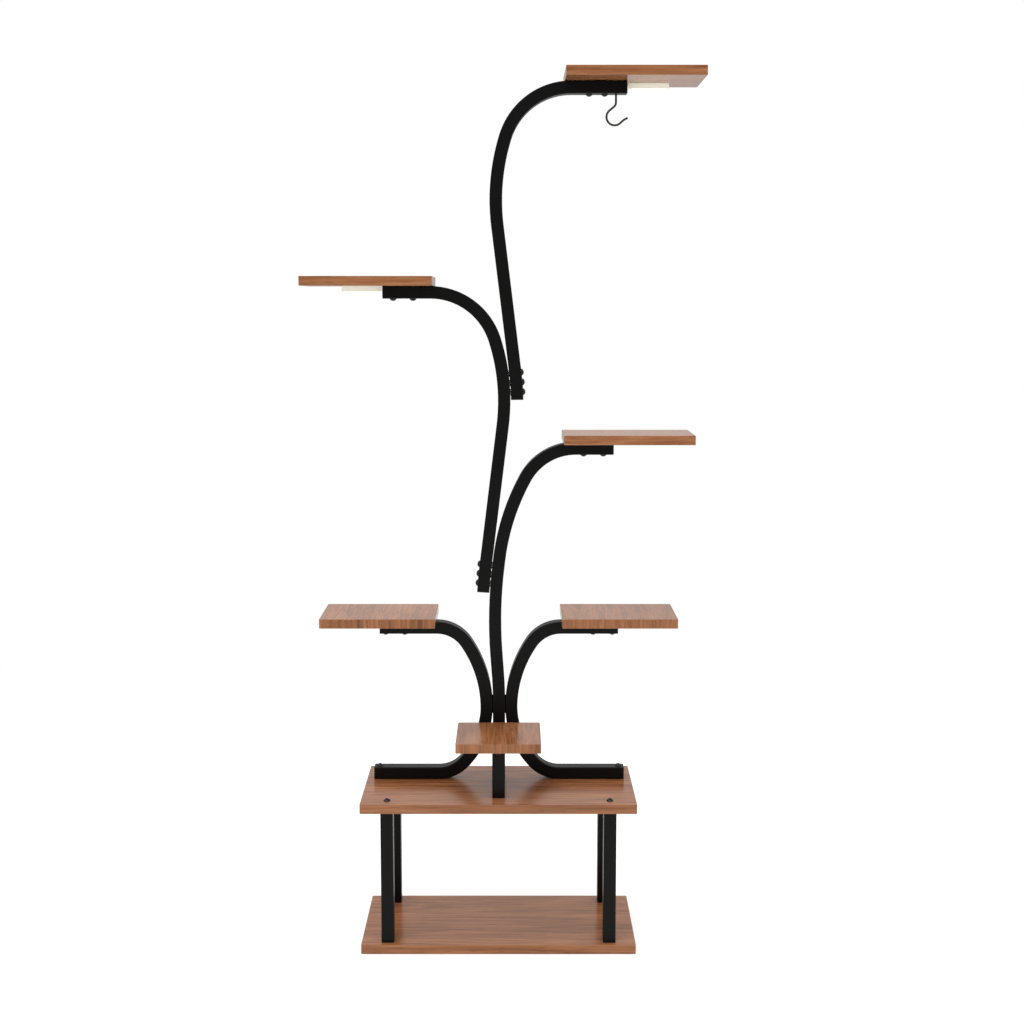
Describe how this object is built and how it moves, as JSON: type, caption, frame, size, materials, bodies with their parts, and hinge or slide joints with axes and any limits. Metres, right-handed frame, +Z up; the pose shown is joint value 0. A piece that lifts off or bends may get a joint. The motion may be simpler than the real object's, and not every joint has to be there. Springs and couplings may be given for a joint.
{
  "type": "plant stand with grow lights",
  "caption": "Tall open plant stand: two wooden boards on legs, curved black steel arms with wooden shelves, flat grow lights under the upper shelves and a swivelling wire hook.",
  "frame": {"origin": "centre of the lower board's underside, on the floor", "axes": "+X to the viewer's right, +Y away from the viewer, +Z up"},
  "size_m": [0.6962, 0.2475, 1.5248],
  "materials": {
    "walnut_board": "satin clear coat on a warm brown veneer",
    "black_steel": "fine satin black powder coat",
    "black_bolt": "glossy black oxide",
    "zinc_hardware": "bright zinc",
    "black_plastic": "fine moulded texture",
    "black_wire": "satin black coating",
    "lamp_housing": "satin off-white",
    "lamp_circuit": "white solder mask",
    "lamp_led": "yellow phosphor under clear resin",
    "lamp_lens": "frosted diffuser"
  },
  "bodies": {
    "stand": {"lower_board": "walnut_board", "upper_board": "walnut_board", "front_left_leg": "black_steel", "front_right_leg": "black_steel", "rear_left_leg": "black_steel", "rear_right_leg": "black_steel", "leg_end_plugs": "black_plastic", "leg_top_bolts": "black_bolt", "leg_base_bolts": "black_bolt", "left_arm": "black_steel", "right_arm": "black_steel", "centre_arm": "black_steel", "upper_left_arm": "black_steel", "top_arm": "black_steel", "front_post": "black_steel", "arm_end_caps": "black_plastic", "upright_foot_plugs": "black_plastic", "upright_foot_bolts": "black_bolt", "foot_bolts": "black_bolt", "foot_nuts": "zinc_hardware", "tie_plate": "black_steel", "tie_bolts": "black_bolt", "tie_rivet_nuts": "zinc_hardware", "arm_joint_bolts": "black_bolt", "arm_rivet_nuts": "zinc_hardware", "shelf_bolts": "black_bolt", "shelf_inserts": "zinc_hardware", "left_lower_shelf": "walnut_board", "right_lower_shelf": "walnut_board", "right_middle_shelf": "walnut_board", "upper_left_shelf": "walnut_board", "top_shelf": "walnut_board", "front_shelf": "walnut_board", "post_bracket": "black_steel", "column_bracket": "black_steel", "post_bolt": "black_bolt", "post_nut": "zinc_hardware", "column_bolt": "black_bolt", "column_rivet_nut": "zinc_hardware", "bracket_screws": "zinc_hardware", "left_light_housing": "lamp_housing", "left_light_led_board": "lamp_circuit", "left_light_leds": "lamp_led", "left_light_lens": "lamp_lens", "left_light_inlet": "black_plastic", "top_light_housing": "lamp_housing", "top_light_led_board": "lamp_circuit", "top_light_leds": "lamp_led", "top_light_lens": "lamp_lens", "top_light_inlet": "black_plastic", "light_screws": "zinc_hardware"},
    "hanging_hook": {"hook": "black_wire", "hook_nut": "zinc_hardware"}
  },
  "joints": [
    {"name": "hook_swivel", "type": "hinge", "parent": "stand", "child": "hanging_hook", "pos_m": [0.2037, 0.0465, 1.48633], "axis": [0, 0, 1], "continuous": true}
  ]
}
